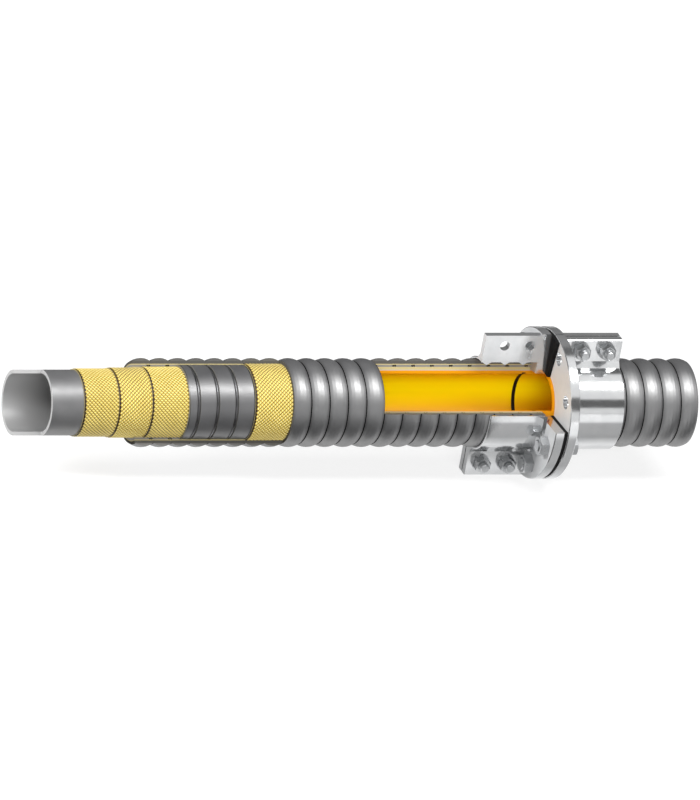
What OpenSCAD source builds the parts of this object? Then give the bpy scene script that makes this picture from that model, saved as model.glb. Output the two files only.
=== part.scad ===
// Sectioned sample of a wire-reinforced abrasive hose, with a second hose bolted to it
// by a pair of split-flange couplings. X runs along the hoses and Z is up.
// The joint plane between the two flanges is u = 0, and u is the distance from it on either side.
// Angles of cuts go round the hose from straight up towards the front (-Y).

/* [Hose lengths] */
// Distance from the joint to the far end of the long hose's tube
long_hose_l = 740; // [700:1:900]
// Distance from the joint to the plain end of the short hose
short_hose_l = 200; // [150:1:300]
// Distance from the joint to where the long hose's cover is whole all round
closed_l = 368; // [330:1:380]
// Distance from the joint to the end of the back part that keeps every layer
back_l = 575; // [540:1:600]
// Length of the outer ply that shows
ply_4_bare = 52.5; // [30:0.5:55]
// Length of the cushion that shows
cushion_bare = 91.5; // [70:0.5:100]
// Length of the third ply that shows
ply_3_bare = 51; // [35:1:60]
// Length of the second ply that shows
ply_2_bare = 46; // [35:1:55]
// Length of the first ply that shows
ply_1_bare = 48; // [35:1:55]
// Length of the half cut at the tube's end
tube_cut_l = 39; // [10:1:60]
// Length of the wear lining in the long hose
lining_l = 300; // [260:1:320]

/* [Hose layers] */
// Bore radius of the wear lining and of the tube beyond it
bore_r = 38; // [36:0.5:40]
// Wall of the wear lining, which is let into the tube
lining_t = 4; // [2:0.1:4.5]
// Wall of the inner tube outside the lining
tube_t = 1; // [0.8:0.1:2.5]
// Thickness of each fabric ply
ply_t = 1.2; // [0.8:0.1:1.5]
// Thickness of the rubber cushion
cushion_t = 2.8; // [2.4:0.1:3.4]
// Rubber left under each reinforcing wire
cushion_web_t = 0.4; // [0.3:0.1:0.6]
// Diameter of the reinforcing wire
wire_d = 2.2; // [1.4:0.1:2.3]
// Width of the groove that holds a wire
groove_w = 5.2; // [3:0.1:7]
// Distance between neighbouring wires
wire_pitch = 26.5; // [20:0.1:30]
// Distance from the joint to the first wire
first_wire_u = 22; // [20:0.5:28]

/* [Cover] */
// Thickness of the cover in a valley
cover_t = 3.4; // [2.5:0.1:4.5]
// Height of a crest above a valley
crest_h = 4.2; // [3:0.1:5]
// Distance between neighbouring crests
cover_pitch = 25.7; // [22:0.1:30]
// Distance from the joint to a valley of the long hose's cover
long_valley_u = 35.2; // [32:0.1:38]
// Distance from the joint to a valley of the short hose's cover
short_valley_u = 47.7; // [45:0.1:50]
// Least distance from a cut end to the next point of the cover's outline
outline_step = 0.2; // [0.1:0.1:0.5]

/* [Cuts] */
// Distance from the joint to the far edge of the window
window_l = 241; // [150:1:255]
// Angle of the upper edge of the window and of the other front cuts
front_cut_angle = -25; // [-40:1:-10]
// Angle of the lower edge of the window
window_angle = 79; // [60:1:79]
// Angle of the lower edge of the front cut over the steps
step_cut_angle = 140; // [120:1:160]
// Angle of the lower edge of the half cut at the tube's end
tube_cut_angle = 155; // [120:1:165]
// Angle of the edge of the cut in the front half's barrel
barrel_cut_angle = 80; // [80:1:86]
// Angle of the edge of the cut in the front half's flange
flange_cut_angle = 87; // [80:1:90]
// Angle of the first edge of the cut in the gasket
gasket_cut_angle = 11; // [2:1:12]

/* [Coupling] */
// Flange radius
flange_r = 100; // [96:0.5:101]
// Flange thickness
flange_t = 13; // [10:0.5:16]
// Distance from the joint to the coupling's far end
coupling_l = 94; // [92:0.5:110]
// Wall of the barrel outside the hose
barrel_t = 2.8; // [2:0.1:5]
// Radius at the foot of the flange
foot_f = 3.5; // [1:0.5:4]
// Half width of a rib's tip, where it sits in a valley
rib_tip = 1; // [0.5:0.1:1.5]
// Half width of a rib's root
rib_root = 6; // [4:0.5:7]
// Reach of the upper lugs from the hose's axis
upper_lug_r = 97.5; // [96:0.5:98]
// Reach of the lower lugs from the hose's axis, down to the floor
lug_r = 101; // [101:0.5:110]
// Thickness of a lug
lug_t = 10; // [8:0.5:12]
// Gap that the two halves draw up across
draw_gap = 2; // [1:0.1:3]
// Size of the web at a lug's root
root_f = 6; // [2:0.5:7]
// Bevel along the outer edges of the castings
edge_c = 1; // [0.3:0.1:1.5]

/* [Seals] */
// Gasket thickness
gasket_t = 5; // [2:0.5:8]
// Distance from the flange's rim in to the gasket's
gasket_inset = 2; // [1:0.5:3]
// Least rubber outside the gasket's bolt holes
gasket_edge = 0.5; // [0.5:0.5:2]
// Width of the seal ring in the bore
ring_w = 5; // [3:0.5:7]
// Distance from the joint to the middle of the seal ring
ring_u = 25; // [20:0.5:40]
// Depth that the seal ring is let into the lining, flush with the bore
ring_sink = 1.5; // [0.8:0.1:2]

/* [Hinge] */
// Diameter of the hinge pin under the short hose's coupling
hinge_pin_d = 5; // [3:0.5:5.5]
// Radius of a hinge knuckle
knuckle_r = 5.5; // [4.5:0.1:6]
// Wall between the hinge pin and the hose's room
hinge_wall = 1; // [0.5:0.1:1.5]
// Distance from the joint to the first knuckle
hinge_u = 24; // [18:0.5:28]
// Length of each of the three knuckles
knuckle_l = 20; // [10:0.5:21]
// Gap round a knuckle and round the pin
hinge_gap = 0.4; // [0.2:0.1:0.5]

/* [Flange bolts] */
// Radius of the circle that the flange bolts lie on
flange_bolt_r = 80; // [79.5:0.5:82]
// Number of holes in the flange
flange_holes = 8; // [8:1:8]
// Angle of the first hole
flange_bolt_phase = 18; // [17:0.5:19]
// Number of holes, counted from the first, that are left empty
empty_holes = 2; // [2:1:2]
// Diameter of a flange bolt
flange_bolt_d = 16; // [14:1:16]
// Width across flats of a flange bolt's head and nut
flange_bolt_af = 24; // [22:0.5:24]
// Height of a flange bolt's head
flange_head_h = 10; // [8:0.5:12]
// Height of a flange nut
flange_nut_h = 12; // [9:0.5:12]

/* [Lug bolts] */
// Height of the lug bolts above and below the hose's axis
lug_bolt_z = 82.5; // [80:0.5:86]
// Distance from the joint to the first bolt of the short hose's upper lugs
upper_bolt_u = 37; // [34:0.5:40]
// Distance from the joint to the first empty hole of the long hose's upper lug
empty_hole_u = 30; // [28:0.5:40]
// Distance from the joint to the first bolt of the lower lugs
lower_bolt_u = 39; // [39:0.5:42]
// Distance between the two bolts of a lug
lug_bolt_pitch = 35.5; // [30:0.5:38]
// Diameter of a lug bolt
lug_bolt_d = 12; // [10:1:12]
// Width across flats of a lug bolt's head and nut
lug_bolt_af = 19; // [17:0.5:19]
// Height of a lug bolt's head
lug_head_h = 7.5; // [6:0.5:9]
// Height of a lug nut
lug_nut_h = 10; // [8:0.5:12]
// Diameter of a lug washer
washer_d = 24; // [22:0.5:24]
// Thickness of a lug washer
washer_t = 2.5; // [1.5:0.1:3]
// Length of a lug bolt past its nut
lug_bolt_end = 7; // [2:0.5:8]

/* [Fits] */
// Gap between the hose and what clamps it
hose_fit = 0.3; // [0.1:0.1:0.5]
// Radial gap round a bolt in a flange hole
flange_hole_fit = 1; // [0.5:0.1:1.2]
// Radial gap round a bolt in a lug hole
lug_hole_fit = 0.75; // [0.3:0.05:1]
// Radial gap between a bolt and its nut
thread_fit = 0.1; // [0.05:0.05:0.2]
// Length of a flange bolt past its nut
flange_bolt_end = 1.5; // [0.5:0.5:2]

/* [Hidden] */
$fn = 96;

// Radii from the bore outwards
lining_r = bore_r + lining_t;
tube_r = lining_r + tube_t;
ply_1_r = tube_r + ply_t;
ply_2_r = ply_1_r + ply_t;
ply_3_r = ply_2_r + ply_t;
cushion_r = ply_3_r + cushion_t;
ply_4_r = cushion_r + ply_t;
valley_r = ply_4_r + cover_t;
crest_r = valley_r + crest_h;
crest_arc_r = (pow(cover_pitch / 2, 2) + pow(crest_h, 2)) / (2 * crest_h);

// Places along the hoses, from the joint
face_u = gasket_t / 2;
flange_u = face_u + flange_t;
hose_u = flange_u + hose_fit;
ply_4_u = closed_l + ply_4_bare;
cushion_u = ply_4_u + cushion_bare;
ply_3_u = cushion_u + ply_3_bare;
ply_2_u = ply_3_u + ply_2_bare;
ply_1_u = ply_2_u + ply_1_bare;

// Coupling
coupling_bore_r = crest_r + hose_fit;
barrel_r = coupling_bore_r + barrel_t;
rib_r = cover_r(rib_tip, 0) + hose_fit;
lip_r = lining_r + hose_fit;
flange_hole_r = flange_bolt_d / 2 + flange_hole_fit;
gasket_r = max(flange_r - gasket_inset, flange_bolt_r + flange_hole_r + gasket_edge);
half_gap = draw_gap / 2;
lug_y = half_gap + lug_t;
hinge_r = coupling_bore_r + hinge_wall + hinge_pin_d / 2;
hinge_step = knuckle_l + hinge_gap;
cut_reach = 1.5 * lug_r;
over = 1;

// The origin is under the middle of the whole length, at the lugs' lower edges
origin_x = (long_hose_l - short_hose_l) / 2;

// Radius of the cover's outside at u, a row of crest arcs that meet in the valleys
function from_crest(u, valley_u) =
    let (t = (u - valley_u) / cover_pitch) (t - floor(t) - 0.5) * cover_pitch;
function cover_r(u, valley_u) =
    crest_r - crest_arc_r + sqrt(pow(crest_arc_r, 2) - pow(from_crest(u, valley_u), 2));
function cover_edge(u_from, u_to, valley_u, steps = 6) = [
    for (k = [floor((u_from - valley_u) / cover_pitch) : ceil((u_to - valley_u) / cover_pitch)],
         j = [0 : steps - 1])
        let (u = valley_u + (k + j / steps) * cover_pitch)
            if (u > u_from + outline_step && u < u_to - outline_step) [cover_r(u, valley_u), u]
];
function wires(u_to) = [for (u = [first_wire_u : wire_pitch : u_to - groove_w]) u];
function barrel_z(y) = sqrt(pow(barrel_r, 2) - pow(y, 2));

module placed() translate([origin_x, 0, lug_r]) children();
module left() placed() mirror([1, 0, 0]) children();
module right() placed() children();

// A turned solid: points are [radius, u]
module turned(points) rotate([0, 90, 0]) rotate_extrude() polygon(points);
module layer(r_in, r_out, u_from, u_to)
    turned([[r_in, u_from], [r_out, u_from], [r_out, u_to], [r_in, u_to]]);

// What a straight cut through the axis takes away between two angles
module wedge(from, to, u_from, u_to, steps = 4)
    translate([u_from, 0, 0]) rotate([90, 0, 90]) linear_extrude(u_to - u_from)
        polygon(concat([[0, 0]], [
            for (i = [0 : steps])
                let (a = from + (to - from) * i / steps) cut_reach * [-sin(a), cos(a)]
        ]));

module window_cut() wedge(front_cut_angle, window_angle, -over, window_l);
module step_cut(u_from) wedge(front_cut_angle, step_cut_angle, u_from, back_l + over);

// A layer of the long hose: its front is cut back to u_front, and it has the window
module long_layer(u_front)
    difference() {
        children();
        window_cut();
        if (u_front < back_l) step_cut(u_front);
    }

// The hoses' layers, each for a hose that ends at u_to
module lining(u_to) layer(bore_r, lining_r, 0, u_to);
module tube_body(u_to, lining_to)
    turned([
        [lining_r, hose_u], [tube_r, hose_u], [tube_r, u_to],
        [lining_to < u_to ? bore_r : lining_r, u_to],
        if (lining_to < u_to) [bore_r, lining_to],
        if (lining_to < u_to) [lining_r, lining_to]
    ]);
module cushion_body(u_to)
    difference() {
        layer(ply_3_r, cushion_r, hose_u, u_to);
        for (u = wires(u_to))
            layer(ply_3_r + cushion_web_t, cushion_r + over, u - groove_w / 2, u + groove_w / 2);
    }
module wire_rings(u_to)
    for (u = wires(u_to)) turned_ring(ply_3_r + cushion_web_t + wire_d / 2, wire_d / 2, u);
module turned_ring(r, section_r, u)
    translate([u, 0, 0]) rotate([0, 90, 0]) rotate_extrude() translate([r, 0]) circle(section_r);
module cover_body(u_to, valley_u)
    turned(concat(
        [[ply_4_r, hose_u], [cover_r(hose_u, valley_u), hose_u]],
        cover_edge(hose_u, u_to, valley_u),
        [[cover_r(u_to, valley_u), u_to], [ply_4_r, u_to]]
    ));

// Long hose
module left_cover() color([0.42, 0.42, 0.43]) left()
    long_layer(closed_l) cover_body(back_l, long_valley_u);
module left_outer_ply() color([0.86, 0.78, 0.38]) left()
    long_layer(ply_4_u) layer(cushion_r, ply_4_r, hose_u, back_l);
module left_wires() color([0.75, 0.76, 0.77]) left()
    long_layer(cushion_u) wire_rings(back_l);
module left_cushion() color([0.5, 0.5, 0.51]) left()
    long_layer(cushion_u) cushion_body(back_l);
module left_ply_3() color([0.85, 0.77, 0.36]) left()
    long_layer(ply_3_u) layer(ply_2_r, ply_3_r, hose_u, max(ply_3_u, back_l));
module left_ply_2() color([0.86, 0.78, 0.38]) left()
    long_layer(ply_2_u) layer(ply_1_r, ply_2_r, hose_u, ply_2_u);
module left_ply_1() color([0.84, 0.76, 0.35]) left()
    long_layer(ply_1_u) layer(tube_r, ply_1_r, hose_u, ply_1_u);
module left_tube() color([0.38, 0.38, 0.39]) left()
    difference() {
        long_layer(long_hose_l) tube_body(long_hose_l, lining_l);
        wedge(front_cut_angle, tube_cut_angle, long_hose_l - tube_cut_l, long_hose_l + over);
    }
module left_lining() color([0.97, 0.68, 0.03]) left()
    long_layer(long_hose_l) difference() {
        lining(lining_l);
        layer(bore_r - over, bore_r + ring_sink, ring_u - ring_w / 2, ring_u + ring_w / 2);
    }
module seal_ring() color([0.06, 0.06, 0.06]) left()
    long_layer(long_hose_l)
        layer(bore_r, bore_r + ring_sink, ring_u - ring_w / 2, ring_u + ring_w / 2);

// Short hose
module right_cover() color([0.42, 0.42, 0.43]) right() cover_body(short_hose_l, short_valley_u);
module right_outer_ply() color([0.86, 0.78, 0.38]) right()
    layer(cushion_r, ply_4_r, hose_u, short_hose_l);
module right_wires() color([0.75, 0.76, 0.77]) right() wire_rings(short_hose_l);
module right_cushion() color([0.5, 0.5, 0.51]) right() cushion_body(short_hose_l);
module right_ply_3() color([0.85, 0.77, 0.36]) right()
    layer(ply_2_r, ply_3_r, hose_u, short_hose_l);
module right_ply_2() color([0.86, 0.78, 0.38]) right()
    layer(ply_1_r, ply_2_r, hose_u, short_hose_l);
module right_ply_1() color([0.84, 0.76, 0.35]) right()
    layer(tube_r, ply_1_r, hose_u, short_hose_l);
module right_tube() color([0.38, 0.38, 0.39]) right() tube_body(short_hose_l, short_hose_l);
module right_lining() color([0.97, 0.68, 0.03]) right() lining(short_hose_l);

// Places of the flange bolts, seen along the hose
module at_flange_holes(first, last)
    for (k = [first : last])
        let (a = flange_bolt_phase + k * 360 / flange_holes)
            translate([0, -flange_bolt_r * sin(a), flange_bolt_r * cos(a)]) children();
module flange_hole_cuts(u_from, u_to)
    at_flange_holes(0, flange_holes - 1)
        translate([u_from, 0, 0]) rotate([0, 90, 0])
            cylinder(h = u_to - u_from, r = flange_hole_r);

module gasket() color([0.07, 0.07, 0.07]) placed()
    difference() {
        layer(lip_r, gasket_r, -face_u, face_u);
        wedge(gasket_cut_angle, flange_cut_angle, -face_u - over, face_u + over);
        flange_hole_cuts(-face_u - over, face_u + over);
    }

// Couplings: each half is one casting with half a flange and half a barrel. The long hose's halves are
// bolted together above and below, and the short hose's are hinged below and bolted above.
module coupling_outside()
    turned([
        [0, face_u], [flange_r - edge_c, face_u], [flange_r, face_u + edge_c],
        [flange_r, flange_u - edge_c], [flange_r - edge_c, flange_u],
        [barrel_r + foot_f, flange_u], [barrel_r, flange_u + foot_f],
        [barrel_r, coupling_l - edge_c], [barrel_r - edge_c, coupling_l], [0, coupling_l]
    ]);

// The room for the hose, with a rib left standing in each valley that the barrel covers
module coupling_inside(valley_u) {
    clear = rib_root + over;
    ribs = [
        for (k = [-1 : 3])
            let (u = valley_u + k * cover_pitch)
                if (u > flange_u + clear && u < coupling_l - clear) u
    ];
    rib_edges = [
        for (u = ribs, side = [-1, 1], at = [side < 0 ? rib_root : rib_tip, side < 0 ? rib_tip : rib_root])
            [at == rib_root ? coupling_bore_r : rib_r, u + side * at]
    ];
    turned(concat(
        [[0, face_u - over], [lip_r, face_u - over], [lip_r, flange_u], [coupling_bore_r, flange_u]],
        rib_edges,
        [[coupling_bore_r, coupling_l + over], [0, coupling_l + over]]
    ));
}

// One lug on the front side, with the web at its root, which runs on into the barrel
module lug(reach) {
    web_top = [-lug_y, barrel_z(lug_y) + root_f];
    web_foot = [-lug_y - root_f, barrel_z(lug_y + root_f)];
    web_end = web_foot + (web_foot - web_top) / 5;
    translate([flange_u - flange_t / 2, 0, 0]) rotate([90, 0, 90])
        linear_extrude(coupling_l - flange_u + flange_t / 2)
            polygon([
                [0, barrel_r / 2], [0, reach], [-lug_y + edge_c, reach], [-lug_y, reach - edge_c],
                web_top, web_end, [web_end[0], barrel_r / 2]
            ]);
}
module lug_hole_cuts(first_u, side)
    for (k = [0, 1])
        translate([first_u + k * lug_bolt_pitch, 0, side * lug_bolt_z]) rotate([90, 0, 0])
            cylinder(h = 4 * lug_y, r = lug_bolt_d / 2 + lug_hole_fit, center = true);

// A flange and barrel with its lugs, cut along the parting plane: front is the -Y half
module coupling_half(front, lower_lug)
    difference() {
        union() {
            coupling_outside();
            mirror([0, front ? 0 : 1, 0]) {
                lug(upper_lug_r);
                if (lower_lug) mirror([0, 0, 1]) lug(lug_r);
            }
        }
        translate([-over, front ? -half_gap : half_gap - cut_reach, -cut_reach])
            cube([coupling_l + 2 * over, cut_reach, 2 * cut_reach]);
    }

// Knuckle k of the hinge, or the room round it
module knuckle(k, gap = 0)
    translate([hinge_u + k * hinge_step - gap, 0, -hinge_r]) rotate([0, 90, 0])
        cylinder(h = knuckle_l + 2 * gap, r = knuckle_r + gap);
module hinge_pin_hole()
    translate([face_u, 0, -hinge_r]) rotate([0, 90, 0])
        cylinder(h = coupling_l, r = hinge_pin_d / 2 + hinge_gap / 2);

module bolted_half(front)
    difference() {
        coupling_half(front, true);
        coupling_inside(long_valley_u);
        flange_hole_cuts(face_u - over, flange_u + over);
        lug_hole_cuts(empty_hole_u, 1);
        lug_hole_cuts(lower_bolt_u, -1);
    }
module hinged_half(front)
    difference() {
        union() {
            difference() {
                coupling_half(front, false);
                for (k = front ? [0, 2] : [1]) knuckle(k, hinge_gap);
            }
            for (k = front ? [1] : [0, 2]) knuckle(k);
        }
        coupling_inside(short_valley_u);
        flange_hole_cuts(face_u - over, flange_u + over);
        lug_hole_cuts(upper_bolt_u, 1);
        hinge_pin_hole();
    }

module left_front_half() color([0.86, 0.87, 0.88]) left()
    difference() {
        bolted_half(true);
        wedge(0, barrel_cut_angle, flange_u, coupling_l + over);
        wedge(0, flange_cut_angle, face_u - over, flange_u);
    }
module left_back_half() color([0.83, 0.84, 0.85]) left() bolted_half(false);
module right_front_half() color([0.86, 0.87, 0.88]) right() hinged_half(true);
module right_back_half() color([0.83, 0.84, 0.85]) right() hinged_half(false);
module hinge_pin() color([0.7, 0.71, 0.72]) right()
    translate([hinge_u - over, 0, -hinge_r]) rotate([0, 90, 0])
        cylinder(h = 3 * hinge_step + 2 * over, r = hinge_pin_d / 2);

// Fasteners stand along Z from z = 0 and are turned into place
module hexagon(af, h) {
    corner_r = af / 2 / cos(30);
    top_r = 0.97 * af / 2;
    intersection() {
        cylinder(h = h, r = corner_r, $fn = 6);
        rotate_extrude() polygon([
            [0, 0], [corner_r, 0], [corner_r, h - (corner_r - top_r) * tan(30)], [top_r, h], [0, h]
        ]);
    }
}
module bolt(af, head_h, d, l) {
    hexagon(af, head_h);
    translate([0, 0, -l]) cylinder(h = edge_c, r1 = d / 2 - edge_c, r2 = d / 2);
    translate([0, 0, edge_c - l]) cylinder(h = l - edge_c + over, r = d / 2);
}
module nut(af, h, d)
    difference() {
        hexagon(af, h);
        translate([0, 0, -over]) cylinder(h = h + 2 * over, r = d / 2 + thread_fit);
    }

module flange_bolts() color([0.7, 0.71, 0.72]) placed()
    at_flange_holes(empty_holes, flange_holes - 1)
        translate([flange_u, 0, 0]) rotate([0, 90, 0])
            bolt(flange_bolt_af, flange_head_h, flange_bolt_d,
                2 * flange_u + flange_nut_h + flange_bolt_end);
module flange_nuts() color([0.6, 0.61, 0.62]) placed()
    at_flange_holes(empty_holes, flange_holes - 1)
        translate([-flange_u, 0, 0]) rotate([0, -90, 0])
            nut(flange_bolt_af, flange_nut_h, flange_bolt_d);

// Places of the lug bolts: the short hose's upper lugs and the long hose's lower ones
module at_lug_bolts()
    for (spot = [[1, upper_bolt_u], [-1, lower_bolt_u]], k = [0, 1])
        translate([spot[0] * (spot[1] + k * lug_bolt_pitch), 0, spot[0] * lug_bolt_z]) children();

module lug_bolts() color([0.72, 0.73, 0.74]) placed()
    at_lug_bolts() translate([0, lug_y, 0]) rotate([-90, 0, 0]) rotate([0, 0, 30])
        bolt(lug_bolt_af, lug_head_h, lug_bolt_d, 2 * lug_y + washer_t + lug_nut_h + lug_bolt_end);
module lug_washers() color([0.8, 0.81, 0.82]) placed()
    at_lug_bolts() translate([0, -lug_y, 0]) rotate([90, 0, 0])
        difference() {
            cylinder(h = washer_t, r = washer_d / 2);
            translate([0, 0, -over]) cylinder(h = washer_t + 2 * over, r = lug_bolt_d / 2 + lug_hole_fit);
        }
module lug_nuts() color([0.62, 0.63, 0.64]) placed()
    at_lug_bolts() translate([0, -lug_y - washer_t, 0]) rotate([90, 0, 0]) rotate([0, 0, 30])
        nut(lug_bolt_af, lug_nut_h, lug_bolt_d);

left_cover();
left_outer_ply();
left_wires();
left_cushion();
left_ply_3();
left_ply_2();
left_ply_1();
left_tube();
left_lining();
right_cover();
right_outer_ply();
right_wires();
right_cushion();
right_ply_3();
right_ply_2();
right_ply_1();
right_tube();
right_lining();
seal_ring();
gasket();
left_front_half();
left_back_half();
right_front_half();
right_back_half();
hinge_pin();
flange_bolts();
flange_nuts();
lug_bolts();
lug_nuts();
lug_washers();
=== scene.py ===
import math

import bmesh
import bpy
from mathutils import Matrix, Vector


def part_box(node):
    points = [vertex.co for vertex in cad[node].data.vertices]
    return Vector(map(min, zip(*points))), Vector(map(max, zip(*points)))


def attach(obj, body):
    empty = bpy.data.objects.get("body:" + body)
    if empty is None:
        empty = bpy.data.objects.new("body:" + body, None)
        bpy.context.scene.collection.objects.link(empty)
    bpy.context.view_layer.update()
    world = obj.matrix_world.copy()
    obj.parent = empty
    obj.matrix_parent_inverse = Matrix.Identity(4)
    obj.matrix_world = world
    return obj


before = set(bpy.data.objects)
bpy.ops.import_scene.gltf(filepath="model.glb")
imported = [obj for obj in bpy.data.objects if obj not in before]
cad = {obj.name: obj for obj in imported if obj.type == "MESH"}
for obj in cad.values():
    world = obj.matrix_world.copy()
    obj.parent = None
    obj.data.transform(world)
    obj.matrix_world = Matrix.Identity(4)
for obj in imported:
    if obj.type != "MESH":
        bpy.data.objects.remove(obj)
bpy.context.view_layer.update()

# places that everything else is measured from
gasketLow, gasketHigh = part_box("gasket")
tubeLow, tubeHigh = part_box("left_tube")
jointX = (gasketLow.x + gasketHigh.x) / 2
axisZ = (tubeLow.z + tubeHigh.z) / 2


def radiusOf(nodeName):
    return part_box(nodeName)[1].y  # every layer is whole at the back


print("frame: joint at", round(jointX, 4), "hose axis at", round(axisZ, 4))


# camera: a long lens that looks across the hose from the left, in front and above
view = {
    "hoseTurn": math.radians(21.41),   # how far the hose is turned out of the picture plane
    "roll": math.radians(27.0),        # screen-up, round the hose from straight up to the back
    "distance": 40.0,
    "clipEnd": 200.0,
    "frameHeight": 1.0456,             # what the picture's 800 pixels take in
    "lookAtX": 0.001,
    "raise": 0.0033,
    "sensor": 36.0,
}


def makeCamera(lens):
    turn, roll = lens["hoseTurn"], lens["roll"]
    back = Vector((-math.sin(turn), -math.cos(turn) * math.cos(roll), math.cos(turn) * math.sin(roll)))
    up = Vector((0, math.sin(roll), math.cos(roll)))
    right = up.cross(back)
    target = Vector((lens["lookAtX"], 0, axisZ)) + up * lens["raise"]
    data = bpy.data.cameras.new("camera")
    data.sensor_fit = "VERTICAL"
    data.sensor_height = lens["sensor"]
    data.sensor_width = lens["sensor"]
    data.lens = lens["sensor"] * lens["distance"] / lens["frameHeight"]
    data.clip_end = lens["clipEnd"]
    camera = bpy.data.objects.new("camera", data)
    bpy.context.scene.collection.objects.link(camera)
    turned = Matrix((right, up, back)).transposed().to_4x4()
    camera.matrix_world = Matrix.Translation(target + back * lens["distance"]) @ turned
    bpy.context.scene.camera = camera


makeCamera(view)
print("camera made")


# small helpers for node trees
def addNode(tree, kind, **settings):
    node = tree.nodes.new(kind)
    for name, value in settings.items():
        setattr(node, name, value)
    return node


def feed(tree, value, socket):
    # numbers and colours are typed in, outputs of other nodes are linked
    if isinstance(value, (int, float)):
        socket.default_value = value
    elif isinstance(value, tuple):
        socket.default_value = (*value, 1)
    else:
        tree.links.new(value, socket)


def calc(tree, operation, *values):
    node = addNode(tree, "ShaderNodeMath", operation=operation)
    for value, socket in zip(values, node.inputs):
        feed(tree, value, socket)
    return node.outputs[0]


def combine(tree, *values):
    node = addNode(tree, "ShaderNodeCombineXYZ")
    for value, socket in zip(values, node.inputs):
        feed(tree, value, socket)
    return node.outputs[0]


def split(tree, vector):
    node = addNode(tree, "ShaderNodeSeparateXYZ")
    tree.links.new(vector, node.inputs[0])
    return node.outputs


def remap(tree, value, fromRange, toRange, **settings):
    node = addNode(tree, "ShaderNodeMapRange", **settings)
    node.inputs["From Min"].default_value, node.inputs["From Max"].default_value = fromRange
    node.inputs["To Min"].default_value, node.inputs["To Max"].default_value = toRange
    tree.links.new(value, node.inputs["Value"])
    return node.outputs["Result"]


def grey(tone):
    return (tone, tone, tone)


white = grey(1.0)


def ramp(tree, factor, stops):
    node = addNode(tree, "ShaderNodeValToRGB")
    elements = node.color_ramp.elements
    while len(elements) < len(stops):
        elements.new(0.5)
    for element, (at, colour) in zip(elements, stops):
        element.position = at
        element.color = (*colour, 1)
    tree.links.new(factor, node.inputs["Fac"])
    return node.outputs["Color"]


def mixColour(tree, factor, a, b, blend="MIX"):
    node = addNode(tree, "ShaderNodeMix", data_type="RGBA", blend_type=blend)
    # in a colour mix the factor is socket 0, the colours are 6 and 7, and the result is 2
    for value, place in ((factor, 0), (a, 6), (b, 7)):
        feed(tree, value, node.inputs[place])
    return node.outputs[2]


def newMaterial(name, roughness):
    material = bpy.data.materials.new(name)
    material.use_nodes = True
    tree = material.node_tree
    shader = tree.nodes["Principled BSDF"]
    shader.inputs["Roughness"].default_value = roughness
    coords = addNode(tree, "ShaderNodeTexCoord").outputs["Object"]
    return material, tree, shader, coords


def noise(tree, coords, scale, detail, stretch=None):
    if stretch:
        mapping = addNode(tree, "ShaderNodeMapping")
        mapping.inputs["Scale"].default_value = stretch
        tree.links.new(coords, mapping.inputs["Vector"])
        coords = mapping.outputs["Vector"]
    node = addNode(tree, "ShaderNodeTexNoise")
    node.inputs["Scale"].default_value = scale
    node.inputs["Detail"].default_value = detail
    tree.links.new(coords, node.inputs["Vector"])
    return node.outputs["Fac"]


def patches(tree, coords, scale, detail, dark, light, blur=0.4):
    # soft patches of two colours
    return ramp(tree, noise(tree, coords, scale, detail), [(0.5 - blur / 2, dark), (0.5 + blur / 2, light)])


def wander(tree, coords, scale, detail, low, high):
    return remap(tree, noise(tree, coords, scale, detail), (0, 1), (low, high))


def bump(tree, shader, height, strength, distance, under=None):
    node = addNode(tree, "ShaderNodeBump")
    node.inputs["Strength"].default_value = strength
    node.inputs["Distance"].default_value = distance
    tree.links.new(height, node.inputs["Height"])
    if under:
        tree.links.new(under, node.inputs["Normal"])
    tree.links.new(node.outputs["Normal"], shader.inputs["Normal"])
    return node.outputs["Normal"]


# a face that looks outwards by less than this is one of the lengthwise cut faces
cutFaceLimit = 0.35


def hoseCoords(tree, coords):
    # distance from the joint, a mask that is 1 on the lengthwise cut faces, and radius
    x, y, z = split(tree, coords)
    along = calc(tree, "SUBTRACT", jointX, x)
    z = calc(tree, "SUBTRACT", z, axisZ)
    radius = calc(tree, "SQRT", calc(tree, "MULTIPLY_ADD", z, z, calc(tree, "MULTIPLY", y, y)))
    normal = split(tree, addNode(tree, "ShaderNodeNewGeometry").outputs["True Normal"])
    outward = calc(tree, "MULTIPLY_ADD", normal["Y"], y, calc(tree, "MULTIPLY", normal["Z"], z))
    outward = calc(tree, "ABSOLUTE", calc(tree, "DIVIDE", outward, radius))
    flat = calc(tree, "LESS_THAN", outward, cutFaceLimit)
    return along, flat, radius


# a narrow band beside a step, which is painted dark as shade
def stepShadeBand(tree, along, edge, width):
    distance = calc(tree, "ABSOLUTE", calc(tree, "SUBTRACT", along, edge))
    return calc(tree, "LESS_THAN", distance, width)


# rubber: satin, with a fine moulded grain, paler where a knife has cut it
rubber = {
    "cover": dict(light=(0.078, 0.078, 0.081), dark=(0.048, 0.048, 0.051), cut=(0.10, 0.097, 0.09),
                  roughness=0.42, ior=2.3, grain=900, depth=0.0002),
    "cushion": dict(light=(0.09, 0.09, 0.093), dark=(0.06, 0.06, 0.063), cut=(0.22, 0.21, 0.19),
                    roughness=0.38, ior=1.8, grain=700, depth=0.0001),
    "tube": dict(light=(0.13, 0.13, 0.133), dark=(0.09, 0.09, 0.093), cut=(0.46, 0.46, 0.46),
                 roughness=0.43, ior=1.8, grain=800, depth=0.0001),
}


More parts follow.
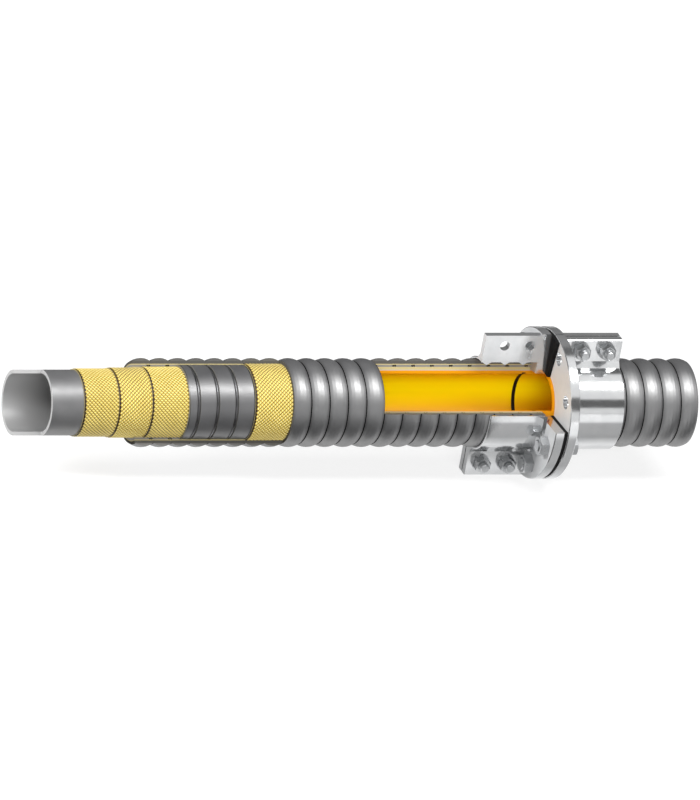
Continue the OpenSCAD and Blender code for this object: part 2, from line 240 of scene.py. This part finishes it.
rubberFinish = {
    "cutShine": 0.2,                        # what a cut face keeps of the shine
    "valleyPaintedShade": [(0.0, 0.1), (0.14, 0.3), (0.4, 0.9), (1.0, 1.0)],   # painted shade, by height up the groove
    "valleyDull": 0.1,                      # up to this height it has no shine
    "boreColour": (0.30, 0.30, 0.30),
    # painted shade along a step edge: its colour and width
    "stepShadeColour": (0.012, 0.010, 0.006),
    "stepShadeWidth": 0.0013,
    "smoother": 0.05,                       # how far the roughness wanders, down and up
    "rougher": 0.1,
}


def makeRubber(name, look, edge=None, groove=None, boreBelow=None):
    material, tree, shader, coords = newMaterial(name, look["roughness"])
    along, flat, radius = hoseCoords(tree, coords)
    colour = patches(tree, coords, scale=28, detail=6, dark=look["dark"], light=look["light"])
    gloss = calc(tree, "MULTIPLY_ADD", flat, rubberFinish["cutShine"] - 1, 1.0)
    if groove:  # painted shade darkens the valleys, with some dust in them too
        height = remap(tree, radius, groove, (0, 1))
        shade = ramp(tree, height, [(at, grey(tone)) for at, tone in rubberFinish["valleyPaintedShade"]])
        colour = mixColour(tree, 1.0, colour, shade, "MULTIPLY")
        shiny = calc(tree, "GREATER_THAN", height, rubberFinish["valleyDull"])
        gloss = calc(tree, "MULTIPLY", gloss, shiny)
    if boreBelow:  # the bore is paler than the rest of the tube
        colour = mixColour(tree, calc(tree, "LESS_THAN", radius, boreBelow), colour, rubberFinish["boreColour"])
    if edge:
        # painted shade: a dark line beside the step where this layer stops
        stepShade = stepShadeBand(tree, along, edge, rubberFinish["stepShadeWidth"])
        colour = mixColour(tree, stepShade, colour, rubberFinish["stepShadeColour"])
    colour = mixColour(tree, flat, colour, look["cut"])
    rough = wander(tree, coords, scale=60, detail=3, low=look["roughness"] - rubberFinish["smoother"],
                   high=look["roughness"] + rubberFinish["rougher"])
    tree.links.new(colour, shader.inputs["Base Color"])
    tree.links.new(gloss, shader.inputs["Specular IOR Level"])
    tree.links.new(rough, shader.inputs["Roughness"])
    shader.inputs["IOR"].default_value = look["ior"]
    wrap = noise(tree, coords, scale=260, detail=2, stretch=(6, 0.6, 0.6))
    under = bump(tree, shader, wrap, strength=0.25, distance=look["depth"])
    grain = noise(tree, coords, scale=look["grain"], detail=3)
    bump(tree, shader, grain, strength=0.35, distance=look["depth"], under=under)
    return material


# wear lining: smooth, warm orange, with a painted highlight that makes it yellower round one side of the bore
lining = {
    "deep": (0.70, 0.27, 0.002),
    "bright": (1.0, 0.84, 0.0015),
    "roughness": 0.36,
    "specular": 0.2,
    "paintedHighlightAt": math.radians(276),   # centre of the painted highlight, round the bore from straight up towards the front
    "highlightFadesOver": math.radians(62),
    "streaks": 0.3,                    # how far noise streaks carry the fade of the painted highlight
}


def makeLining(look):
    material, tree, shader, coords = newMaterial("liningRubber", look["roughness"])
    shader.inputs["Specular IOR Level"].default_value = look["specular"]
    y, z = split(tree, coords)[1:]
    angle = calc(tree, "ARCTAN2", calc(tree, "MULTIPLY", y, -1), calc(tree, "SUBTRACT", z, axisZ))
    # how far round the bore from the painted highlight's centre, as a share of the fade
    off = calc(tree, "WRAP", calc(tree, "SUBTRACT", angle, look["paintedHighlightAt"]), math.pi, -math.pi)
    off = calc(tree, "DIVIDE", calc(tree, "ABSOLUTE", off), look["highlightFadesOver"])
    streaks = noise(tree, coords, scale=16, detail=4, stretch=(0.15, 1.5, 1.5))
    off = calc(tree, "ADD", off, calc(tree, "MULTIPLY_ADD", streaks, look["streaks"], -look["streaks"] / 2))
    # painted highlight: yellow at its centre, fading to deep orange away from it
    colour = ramp(tree, off, [(0.1, look["bright"]), (0.95, look["deep"])])
    tree.links.new(colour, shader.inputs["Base Color"])
    grain = noise(tree, coords, scale=500, detail=3, stretch=(0.3, 1, 1))
    bump(tree, shader, grain, strength=0.2, distance=0.0001)
    return material


# cord plies: rubber between the cords, and a dark line of painted shade at the cut edge
ply = {
    "gap": (0.13, 0.085, 0.01),
    "gapLight": (0.26, 0.18, 0.03),
    # painted shade along the cut edge
    "edge": (0.02, 0.010, 0.004),
    "stepShadeWidth": 0.0025,
    "section": (0.50, 0.42, 0.20),    # on the lengthwise cut faces
    "baseRoughness": 0.6,
    "cord": (0.84, 0.66, 0.14),
    "cordShade": (0.50, 0.33, 0.03),
    "cordCrestHighlight": (0.92, 0.80, 0.34),
    "faded": (0.86, 0.84, 0.76),      # what the paler patches keep of the cord's colour
    "cordRoughness": 0.55,
    "sheen": 0.15,
    "strandLean": 2.2,                # how far the twist leads across a cord
}


def makePlyBase(name, look, edge):
    material, tree, shader, coords = newMaterial(name, look["baseRoughness"])
    along, flat = hoseCoords(tree, coords)[:2]
    colour = patches(tree, coords, scale=300, detail=4, dark=look["gap"], light=look["gapLight"], blur=0.3)
    if edge:
        # painted shade: a dark line beside the cut edge
        colour = mixColour(tree, stepShadeBand(tree, along, edge, look["stepShadeWidth"]), colour, look["edge"])
    colour = mixColour(tree, flat, colour, look["section"])
    tree.links.new(colour, shader.inputs["Base Color"])
    bump(tree, shader, noise(tree, coords, scale=900, detail=3), strength=0.5, distance=0.0002)
    return material


def makeCordMaterial(look):
    material, tree, shader, coords = newMaterial("plyCord", look["cordRoughness"])
    twist = addNode(tree, "ShaderNodeAttribute", attribute_name="twist").outputs["Fac"]
    across = addNode(tree, "ShaderNodeAttribute", attribute_name="across").outputs["Fac"]
    strands = calc(tree, "SINE", calc(tree, "MULTIPLY_ADD", across, look["strandLean"], twist))
    strands = calc(tree, "MULTIPLY_ADD", strands, 0.5, 0.5)
    # painted shade in the grooves between strands and a painted highlight on their crests
    colour = ramp(tree, strands, [(0.0, look["cordShade"]), (0.55, look["cord"]), (1.0, look["cordCrestHighlight"])])
    faded = patches(tree, coords, scale=45, detail=4, dark=look["faded"], light=white)
    tree.links.new(mixColour(tree, 1.0, colour, faded, "MULTIPLY"), shader.inputs["Base Color"])
    shader.inputs["Sheen Weight"].default_value = look["sheen"]
    bump(tree, shader, strands, strength=0.6, distance=0.0003)
    return material


# plated steel: bright, with faint cast waviness
steel = {
    "coupling": dict(light=(0.72, 0.725, 0.73), dark=(0.63, 0.64, 0.65),
                     roughness=0.13, depth=0.00006, metal=0.9),
    "fastener": dict(light=(0.62, 0.63, 0.64), dark=(0.42, 0.43, 0.44),
                     roughness=0.28, depth=0.00006, metal=1.0),
    "wire": dict(light=(0.30, 0.30, 0.31), dark=(0.16, 0.16, 0.165),
                 roughness=0.3, depth=0.00005, metal=1.0),
}


steelFinish = {
    "smoother": 0.06,        # how far the roughness wanders, down and up
    "rougher": 0.08,
    # faces that look along the hose are turned and dull, the rest is polished
    "turnedFrom": 0.9,
    "turnedRougher": 0.38,
    "turnedMetal": 0.25,
    "wavesOverGrain": 4,     # the cast waves are this much deeper than the grain
}


def makeSteel(name, look):
    material, tree, shader, coords = newMaterial(name, look["roughness"])
    colour = patches(tree, coords, scale=35, detail=5, dark=look["dark"], light=look["light"])
    tree.links.new(colour, shader.inputs["Base Color"])
    rough = wander(tree, coords, scale=120, detail=4, low=look["roughness"] - steelFinish["smoother"],
                   high=look["roughness"] + steelFinish["rougher"])
    facing = split(tree, addNode(tree, "ShaderNodeNewGeometry").outputs["True Normal"])
    turned = calc(tree, "GREATER_THAN", calc(tree, "ABSOLUTE", facing["X"]), steelFinish["turnedFrom"])
    rough = calc(tree, "MULTIPLY_ADD", turned, steelFinish["turnedRougher"], rough)
    metalLost = (1 - steelFinish["turnedMetal"]) * look["metal"]
    metal = calc(tree, "MULTIPLY_ADD", turned, -metalLost, look["metal"])
    tree.links.new(rough, shader.inputs["Roughness"])
    tree.links.new(metal, shader.inputs["Metallic"])
    waves = noise(tree, coords, scale=22, detail=3)
    under = bump(tree, shader, waves, strength=0.25, distance=look["depth"] * steelFinish["wavesOverGrain"])
    grain = noise(tree, coords, scale=700, detail=2)
    bump(tree, shader, grain, strength=0.12, distance=look["depth"], under=under)
    return material


# seal ring and gasket: black, almost without shine
seal = dict(dark=grey(0.004), light=grey(0.010), roughness=0.65, specular=0.15)


def makeSealRubber(look):
    material, tree, shader, coords = newMaterial("sealRubber", look["roughness"])
    colour = patches(tree, coords, scale=60, detail=4, dark=look["dark"], light=look["light"])
    tree.links.new(colour, shader.inputs["Base Color"])
    shader.inputs["Specular IOR Level"].default_value = look["specular"]
    bump(tree, shader, noise(tree, coords, scale=800, detail=3), strength=0.3, distance=0.0002)
    return material


def paint(nodeName, material):
    data = cad[nodeName].data
    if not data.materials:
        data.materials.append(material)
    for i in range(len(data.materials)):
        data.materials[i] = material


# distances from the joint at which each layer stops on the front
stepAt = {
    "left_cover": 0.368, "left_outer_ply": 0.4205, "left_cushion": 0.512,
    "left_ply_3": 0.563, "left_ply_2": 0.609, "left_ply_1": 0.657,
}
valleyRadius = 0.0540
boreDepth = 0.003   # the bare bore lies farther in than this, measured from the lining's outside

coverMaterial = makeRubber("coverRubber", rubber["cover"], groove=(valleyRadius, radiusOf("right_cover")))
cushionMaterial = makeRubber("cushionRubber", rubber["cushion"], edge=stepAt["left_cushion"])
tubeMaterial = makeRubber("tubeRubber", rubber["tube"], boreBelow=radiusOf("left_lining") - boreDepth)
liningMaterial = makeLining(lining)
cordMaterial = makeCordMaterial(ply)
couplingSteel = makeSteel("couplingSteel", steel["coupling"])
fastenerSteel = makeSteel("fastenerSteel", steel["fastener"])
wireSteel = makeSteel("wireSteel", steel["wire"])
sealMaterial = makeSealRubber(seal)

for side in ("left", "right"):
    paint(side + "_cover", coverMaterial)
    paint(side + "_cushion", cushionMaterial)
    paint(side + "_tube", tubeMaterial)
    paint(side + "_lining", liningMaterial)
    paint(side + "_wires", wireSteel)
    paint(side + "_front_half", couplingSteel)
    paint(side + "_back_half", couplingSteel)
    for layerName in ("ply_1", "ply_2", "ply_3", "outer_ply"):
        nodeName = side + "_" + layerName
        paint(nodeName, makePlyBase(nodeName + "Rubber", ply, stepAt.get(nodeName)))
for nodeName in ("seal_ring", "gasket"):
    paint(nodeName, sealMaterial)
for nodeName in ("flange_bolts", "flange_nuts", "lug_bolts", "lug_nuts", "lug_washers", "hinge_pin"):
    paint(nodeName, fastenerSteel)
print("materials painted on", len(cad), "nodes")


# cords: each bare stretch of ply is laid with twisted cords at 45 degrees, in Geometry Nodes
cords = {
    "pitch": 0.0037,      # between neighbouring cords, square to them
    "width": 0.0031,
    "height": 0.0013,
    "sink": 0.0002,       # how far a cord's middle lies under the ply's surface
    "lay": math.radians(45),
    "twistPitch": 0.0037,
    "swell": 0.16,        # how much a strand swells the cord
    "step": 0.0009,
    "edgeGap": 0.0025,    # bare rubber left at the cut edge
    "layerGap": 0.0002,   # between a cord's near end and the layer that covers it
    "sectorGap": 0.01,    # the same at the lengthwise cuts, in radians
    "sides": 8,
}
# sectors, round the hose from straight up towards the front, and where ply 3 stops at the back
frontCut = (math.radians(-25), math.radians(140))
allRound = (-4.0, 4.0)
backEnd = 0.575
# node: lay direction, then stretches as (near, far, sector)
cordFields = {
    "left_ply_1": (-1, [(stepAt["left_ply_2"], stepAt["left_ply_1"], allRound)]),
    "left_ply_2": (1, [(backEnd, stepAt["left_ply_2"], allRound), (stepAt["left_ply_3"], backEnd, frontCut)]),
    "left_ply_3": (-1, [(stepAt["left_cushion"], stepAt["left_ply_3"], frontCut)]),
    "left_outer_ply": (1, [(stepAt["left_cover"], stepAt["left_outer_ply"], frontCut)]),
}


def newTree(name, inputs):
    # the inputs' names by kind: their values are set where the tree is used
    tree = bpy.data.node_groups.new(name, "GeometryNodeTree")
    for kind, labels in inputs.items():
        for label in labels:
            tree.interface.new_socket(label, in_out="INPUT", socket_type="NodeSocket" + kind)
    tree.interface.new_socket("Geometry", in_out="OUTPUT", socket_type="NodeSocketGeometry")
    given = addNode(tree, "NodeGroupInput")
    result = addNode(tree, "NodeGroupOutput")
    return tree, given.outputs, result.inputs[0]


def storeNumber(tree, geometry, name, value):
    node = addNode(tree, "GeometryNodeStoreNamedAttribute", data_type="FLOAT", domain="POINT")
    node.inputs["Name"].default_value = name
    tree.links.new(geometry, node.inputs["Geometry"])
    tree.links.new(value, node.inputs["Value"])
    return node.outputs[0]


def readNumber(tree, name):
    node = addNode(tree, "GeometryNodeInputNamedAttribute", data_type="FLOAT")
    node.inputs["Name"].default_value = name
    return node.outputs[0]


def finishTree(tree, geometry, material, result):
    # the export drops instances, so they are made real before they get their material
    single = addNode(tree, "GeometryNodeRealizeInstances")
    tree.links.new(geometry, single.inputs[0])
    finished = addNode(tree, "GeometryNodeSetMaterial")
    tree.links.new(single.outputs[0], finished.inputs["Geometry"])
    tree.links.new(material, finished.inputs["Material"])
    tree.links.new(finished.outputs[0], result)


def makeCordTree():
    tree, given, result = newTree("layCords", {
        "Geometry": ["Geometry"],
        "Float": ["Radius", "Near", "Far", "Lay", "Width", "Height", "From", "To", "Twist", "Swell", "Joint",
                  "Axis Height"],
        "Int": ["Count", "Samples", "Sides"],
        "Material": ["Cord"]})
    link = tree.links.new
    # one straight cord, from the near end to the far end
    line = addNode(tree, "GeometryNodeCurvePrimitiveLine")
    link(combine(tree, given["Near"], 0, 0), line.inputs["Start"])
    link(combine(tree, given["Far"], 0, 0), line.inputs["End"])
    fine = addNode(tree, "GeometryNodeResampleCurve", mode="COUNT")
    link(line.outputs[0], fine.inputs["Curve"])
    link(given["Samples"], fine.inputs["Count"])
    # one copy for each cord
    marks = addNode(tree, "GeometryNodePoints")
    link(given["Count"], marks.inputs["Count"])
    share = calc(tree, "DIVIDE", addNode(tree, "GeometryNodeInputIndex").outputs[0], given["Count"])
    started = storeNumber(tree, marks.outputs[0], "startAngle", calc(tree, "MULTIPLY", share, 2 * math.pi))
    copies = addNode(tree, "GeometryNodeInstanceOnPoints")
    link(started, copies.inputs["Points"])
    link(fine.outputs[0], copies.inputs["Instance"])
    plain = addNode(tree, "GeometryNodeRealizeInstances")
    link(copies.outputs[0], plain.inputs[0])
    # wind every copy round the ply
    along = split(tree, addNode(tree, "GeometryNodeInputPosition").outputs[0])["X"]
    turn = calc(tree, "DIVIDE", calc(tree, "MULTIPLY", along, given["Lay"]), given["Radius"])
    angle = calc(tree, "WRAP", calc(tree, "ADD", readNumber(tree, "startAngle"), turn), math.pi, -math.pi)
    # store the numbers before the points move
    saved = storeNumber(tree, plain.outputs[0], "angle", angle)
    saved = storeNumber(tree, saved, "twist", calc(tree, "MULTIPLY", along, given["Twist"]))
    kept = readNumber(tree, "angle")
    sine, cosine = calc(tree, "SINE", kept), calc(tree, "COSINE", kept)
    moved = addNode(tree, "GeometryNodeSetPosition")
    link(saved, moved.inputs["Geometry"])
    link(combine(tree, calc(tree, "MULTIPLY", along, -1),
                 calc(tree, "MULTIPLY", calc(tree, "MULTIPLY", given["Radius"], sine), -1),
                 calc(tree, "MULTIPLY", given["Radius"], cosine)), moved.inputs["Position"])
    # leave out what another layer covers
    outside = calc(tree, "ADD", calc(tree, "LESS_THAN", kept, given["From"]),
                   calc(tree, "GREATER_THAN", kept, given["To"]))
    trimmed = addNode(tree, "GeometryNodeDeleteGeometry", domain="POINT")
    link(moved.outputs[0], trimmed.inputs["Geometry"])
    link(outside, trimmed.inputs["Selection"])
    # swell along the twist, and give each cord a flat oval section
    swell = calc(tree, "MULTIPLY_ADD", calc(tree, "SINE", readNumber(tree, "twist")), given["Swell"], 1.0)
    thick = addNode(tree, "GeometryNodeSetCurveRadius")
    link(trimmed.outputs[0], thick.inputs["Curve"])
    link(swell, thick.inputs["Radius"])
    facing = addNode(tree, "GeometryNodeSetCurveNormal", mode="FREE")
    link(thick.outputs[0], facing.inputs["Curve"])
    link(combine(tree, 0, calc(tree, "MULTIPLY", sine, -1), cosine), facing.inputs["Normal"])
    section = addNode(tree, "GeometryNodeCurvePrimitiveCircle", mode="RADIUS")
    section.inputs["Radius"].default_value = 0.5
    link(given["Sides"], section.inputs["Resolution"])
    oval = addNode(tree, "GeometryNodeTransform")
    link(section.outputs[0], oval.inputs["Geometry"])
    link(combine(tree, given["Height"], given["Width"], 1), oval.inputs["Scale"])
    rim = split(tree, addNode(tree, "GeometryNodeInputPosition").outputs[0])
    across = storeNumber(tree, oval.outputs[0], "across", calc(tree, "DIVIDE", rim["Y"], given["Width"]))
    solid = addNode(tree, "GeometryNodeCurveToMesh")
    solid.inputs["Fill Caps"].default_value = True
    link(facing.outputs[0], solid.inputs["Curve"])
    link(across, solid.inputs["Profile Curve"])
    placed = addNode(tree, "GeometryNodeTransform")
    link(solid.outputs[0], placed.inputs["Geometry"])
    link(combine(tree, given["Joint"], 0, given["Axis Height"]), placed.inputs["Translation"])
    smooth = addNode(tree, "GeometryNodeSetShadeSmooth")
    link(placed.outputs[0], smooth.inputs["Geometry"])
    finishTree(tree, smooth.outputs[0], given["Cord"], result)
    return tree


def growPiece(name, tree, values, startMesh=None):
    # runs a tree on a fresh object, and keeps what it makes as a plain mesh
    holder = bpy.data.objects.new(name + "Grower", startMesh or bpy.data.meshes.new(name + "Seed"))
    bpy.context.scene.collection.objects.link(holder)
    modifier = holder.modifiers.new("grow", "NODES")
    modifier.node_group = tree
    sockets = {item.name: item.identifier for item in tree.interface.items_tree if item.in_out == "INPUT"}
    for label, value in values.items():
        modifier[sockets[label]] = value
    graph = bpy.context.evaluated_depsgraph_get()
    mesh = bpy.data.meshes.new_from_object(holder.evaluated_get(graph), depsgraph=graph)
    mesh.name = name
    bpy.data.objects.remove(holder)
    return mesh


def joinMeshes(name, meshes):
    joined = bmesh.new()
    for mesh in meshes:
        joined.from_mesh(mesh)
    result = bpy.data.meshes.new(name)
    joined.to_mesh(result)
    joined.free()
    for material in meshes[0].materials:
        result.materials.append(material)
    return result


def placePiece(name, mesh):
    piece = bpy.data.objects.new(name, mesh)
    bpy.context.scene.collection.objects.link(piece)
    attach(piece, "root")
    return piece


cordTree = makeCordTree()
for nodeName, (direction, stretches) in cordFields.items():
    surface = radiusOf(nodeName)
    count = round(2 * math.pi * surface * math.cos(cords["lay"]) / cords["pitch"])
    meshes = []
    for near, far, sector in stretches:
        end = far - cords["edgeGap"] if far == stepAt[nodeName] else far
        run = (end - near) / math.cos(cords["lay"])
        meshes.append(growPiece(nodeName + "Cords", cordTree, {
            "Radius": surface - cords["sink"], "Near": near + cords["layerGap"], "Far": end,
            "Lay": direction * math.tan(cords["lay"]), "Count": count,
            "Samples": round(run / cords["step"]), "Width": cords["width"], "Height": cords["height"],
            "From": sector[0] + cords["sectorGap"], "To": sector[1] - cords["sectorGap"],
            "Twist": 2 * math.pi / math.cos(cords["lay"]) / cords["twistPitch"],
            "Swell": cords["swell"], "Joint": jointX, "Axis Height": axisZ, "Sides": cords["sides"],
            "Cord": cordMaterial}))
    piece = placePiece(nodeName + "_cords", joinMeshes(nodeName + "_cords", meshes))
    print("cords on", nodeName, count, "cords,", len(piece.data.polygons), "faces")


# threads on the lug bolts' free ends: one winding for each bolt, in Geometry Nodes
threads = {
    "boltRadius": 0.006,
    "pitch": 0.00175,
    "length": 0.0062,    # from the bolt's end back to its nut
    "depth": 0.0005,
    "setBack": 0.0006,   # from the bolt's end to the first turn
    "stepsPerTurn": 24,
    "boltGap": 0.014,    # points of one end face lie closer together than this
    "flatness": 0.0002,  # and within this of the foremost one
}


def boltEnds(nodeName):
    # where the threads start behind each front end face, read from the node's own mesh
    points = [vertex.co for vertex in cad[nodeName].data.vertices]
    front = min(point.y for point in points)
    faces = []
    for point in points:
        if point.y > front + threads["flatness"]:
            continue
        for face in faces:
            if math.hypot(face[0].x - point.x, face[0].z - point.z) < threads["boltGap"]:
                face.append(point)
                break
        else:
            faces.append([point])
    ends = []
    for face in faces:
        xs, zs = [point.x for point in face], [point.z for point in face]
        ends.append(((min(xs) + max(xs)) / 2, front + threads["setBack"], (min(zs) + max(zs)) / 2))
    return ends


def makeThreadTree():
    tree, given, result = newTree("windThreads", {
        "Geometry": ["Bolt Ends"],
        "Float": ["Bolt Radius", "Pitch", "Length", "Depth"],
        "Int": ["Steps"],
        "Material": ["Steel"]})
    link = tree.links.new
    spiral = addNode(tree, "GeometryNodeCurveSpiral")
    link(given["Steps"], spiral.inputs["Resolution"])
    link(calc(tree, "DIVIDE", given["Length"], given["Pitch"]), spiral.inputs["Rotations"])
    link(given["Bolt Radius"], spiral.inputs["Start Radius"])
    link(given["Bolt Radius"], spiral.inputs["End Radius"])
    link(given["Length"], spiral.inputs["Height"])
    crest = addNode(tree, "GeometryNodeCurvePrimitiveCircle", mode="RADIUS")
    crest.inputs["Resolution"].default_value = 4
    link(given["Depth"], crest.inputs["Radius"])
    swept = addNode(tree, "GeometryNodeCurveToMesh")
    swept.inputs["Fill Caps"].default_value = True
    link(spiral.outputs[0], swept.inputs["Curve"])
    link(crest.outputs[0], swept.inputs["Profile Curve"])
    turned = addNode(tree, "GeometryNodeTransform")
    turned.inputs["Rotation"].default_value = (math.radians(-90), 0, 0)
    link(swept.outputs[0], turned.inputs["Geometry"])
    marks = addNode(tree, "GeometryNodeMeshToPoints")
    link(given["Bolt Ends"], marks.inputs["Mesh"])
    copies = addNode(tree, "GeometryNodeInstanceOnPoints")
    link(marks.outputs[0], copies.inputs["Points"])
    link(turned.outputs[0], copies.inputs["Instance"])
    finishTree(tree, copies.outputs[0], given["Steel"], result)
    return tree


endMarks = bpy.data.meshes.new("boltEndMarks")
endMarks.from_pydata(boltEnds("lug_bolts"), [], [])
threadMesh = growPiece("lug_bolt_threads", makeThreadTree(), {
    "Bolt Radius": threads["boltRadius"], "Pitch": threads["pitch"], "Length": threads["length"],
    "Depth": threads["depth"], "Steps": threads["stepsPerTurn"], "Steel": fastenerSteel}, endMarks)
placePiece("lug_bolt_threads", threadMesh)
print("threads on", len(endMarks.vertices), "bolts,", len(threadMesh.polygons), "faces")


# floor: pale paper, which steel and rubber see as white with a dark card on it
stage = {
    "floorSize": 16.0,
    "floorColour": grey(0.32),
    "bounceColour": grey(0.42),   # what the paper throws back on to the hose
    "roughness": 0.9,
    "specular": 0.1,
    "glowNear": 0.76,             # under the object, where the shadow lies
    "glowFar": 1.0,
    "fades": (0.7, 2.1),          # distances between which the glow changes
    # what the hoses see of it, by depth: a dark card in front, white round the hose, dark far behind
    "hoseTone": [(-0.5, 0.25), (-0.34, 0.15), (-0.24, 0.04), (-0.09, 0.04), (-0.04, 1.0),
                 (0.49, 1.0), (0.5, 0.15)],
    # what the coupling sees, with a narrower and paler card
    "steelTone": [(-0.5, 1.0), (-0.34, 1.0), (-0.26, 0.06), (-0.09, 0.06), (-0.04, 1.0),
                  (0.49, 1.0), (0.5, 0.15)],
    "steelWidth": 0.22,
    "toneShift": 0.5,             # brings those depths to a ramp's 0 to 1
}


def makeFloor(paper):
    half = paper["floorSize"] / 2
    mesh = bpy.data.meshes.new("floor")
    corners = [(-half, -half, 0), (half, -half, 0), (half, half, 0), (-half, half, 0)]
    mesh.from_pydata(corners, [], [(0, 1, 2, 3)])
    floor = bpy.data.objects.new("floor", mesh)
    bpy.context.scene.collection.objects.link(floor)
    material, tree, shader, coords = newMaterial("floorPaper", paper["roughness"])
    shader.inputs["Specular IOR Level"].default_value = paper["specular"]
    rays = addNode(tree, "ShaderNodeLightPath").outputs
    seen = calc(tree, "MAXIMUM", rays["Is Camera Ray"], rays["Is Glossy Ray"])
    seen = calc(tree, "MAXIMUM", seen, rays["Is Transmission Ray"])
    x, y = split(tree, coords)[:2]
    shift = paper["toneShift"]
    depth = calc(tree, "ADD", y, shift)
    hoseTone, steelTone = (ramp(tree, depth, [(at + shift, grey(tone)) for at, tone in paper[key]])
                           for key in ("hoseTone", "steelTone"))
    # the coupling's reflections land slantwise, farther to the right the farther off they are
    reach = calc(tree, "SQRT", calc(tree, "MULTIPLY_ADD", y, y, axisZ ** 2))
    middle = calc(tree, "MULTIPLY_ADD", reach, math.tan(view["hoseTurn"]), jointX)
    aside = calc(tree, "ABSOLUTE", calc(tree, "SUBTRACT", x, middle))
    steelSide = calc(tree, "LESS_THAN", aside, paper["steelWidth"] / 2)
    tone = mixColour(tree, rays["Is Glossy Ray"], white, mixColour(tree, steelSide, hoseTone, steelTone))
    card = mixColour(tree, rays["Is Glossy Ray"], white, mixColour(tree, steelSide, hoseTone, white))
    plain = mixColour(tree, seen, paper["bounceColour"], paper["floorColour"])
    tree.links.new(mixColour(tree, 1.0, plain, card, "MULTIPLY"), shader.inputs["Base Color"])
    # seen directly or in a reflection, the paper also glows, so that it shows white behind its shadow
    away = addNode(tree, "ShaderNodeVectorMath", operation="LENGTH")
    tree.links.new(coords, away.inputs[0])
    strength = remap(tree, away.outputs["Value"], paper["fades"], (paper["glowNear"], paper["glowFar"]),
                     interpolation_type="SMOOTHSTEP")
    glow = addNode(tree, "ShaderNodeEmission")
    tree.links.new(strength, glow.inputs["Strength"])
    tree.links.new(tone, glow.inputs["Color"])
    lit = addNode(tree, "ShaderNodeMixShader")
    tree.links.new(seen, lit.inputs["Fac"])
    tree.links.new(glow.outputs[0], lit.inputs[2])
    both = addNode(tree, "ShaderNodeAddShader")
    tree.links.new(shader.outputs[0], both.inputs[0])
    tree.links.new(lit.outputs[0], both.inputs[1])
    tree.links.new(both.outputs[0], tree.nodes["Material Output"].inputs["Surface"])
    mesh.materials.append(material)


# room: even light from all round, and what steel and rubber see of the walls
room = {
    "fill": grey(0.26),
    # by the angle round the hose, from straight up towards the front: white walls, a dim one behind the
    # hose, a dark flag overhead and a narrow one in front
    "walls": [(-180, 1.0), (-96, 0.12), (-60, 0.20), (-34, 0.22), (-27, 0.04), (-14, 0.04), (-9, 0.95),
              (54, 0.95), (57, 0.03), (75, 0.03), (78, 0.9), (180, 1.0)],
}


def makeWorld(look):
    world = bpy.data.worlds.new("studio")
    bpy.context.scene.world = world
    world.use_nodes = True
    tree = world.node_tree
    y, z = split(tree, addNode(tree, "ShaderNodeTexCoord").outputs["Generated"])[1:]
    angle = calc(tree, "ARCTAN2", calc(tree, "MULTIPLY", y, -1), z)
    share = calc(tree, "MULTIPLY_ADD", angle, 1 / (2 * math.pi), 0.5)
    walls = ramp(tree, share, [((turn + 180) / 360, grey(tone)) for turn, tone in look["walls"]])
    rays = addNode(tree, "ShaderNodeLightPath").outputs
    colour = mixColour(tree, rays["Is Glossy Ray"], look["fill"], walls)
    direct = calc(tree, "MAXIMUM", rays["Is Camera Ray"], rays["Is Transmission Ray"])
    background = tree.nodes["Background"]
    background.inputs["Strength"].default_value = 1.0
    tree.links.new(mixColour(tree, direct, colour, white), background.inputs["Color"])


# lamps: strips along the hose, turned round it from straight up towards the front, and one at the left
# for the faces that look along the hose
lamps = {
    "keyLamp": dict(turn=22, distance=2.2, shift=0.85, size=(2.3, 0.5), power=40, leans=False, shines=True),
    "fillLamp": dict(turn=68, distance=2.6, shift=-0.2, size=(2.0, 0.9), power=40, leans=False, shines=False),
    "sideLamp": dict(turn=0, distance=1.6, shift=-3.0, size=(0.9, 0.9), power=90, leans=True, shines=False),
}


def makeLamp(name, lamp):
    data = bpy.data.lights.new(name, "AREA")
    data.shape = "RECTANGLE"
    data.size, data.size_y = lamp["size"]
    data.energy = lamp["power"]
    holder = bpy.data.objects.new(name, data)
    turn, distance = math.radians(lamp["turn"]), lamp["distance"]
    lean = math.atan2(lamp["shift"], distance) if lamp["leans"] else 0
    holder.location = (lamp["shift"], -math.sin(turn) * distance, axisZ + math.cos(turn) * distance)
    holder.rotation_euler = (turn, lean, 0)
    holder.visible_glossy = lamp["shines"]
    bpy.context.scene.collection.objects.link(holder)


makeFloor(stage)
makeWorld(room)
for name, lamp in lamps.items():
    makeLamp(name, lamp)
bpy.context.scene.view_settings.view_transform = "Standard"
print("studio made")
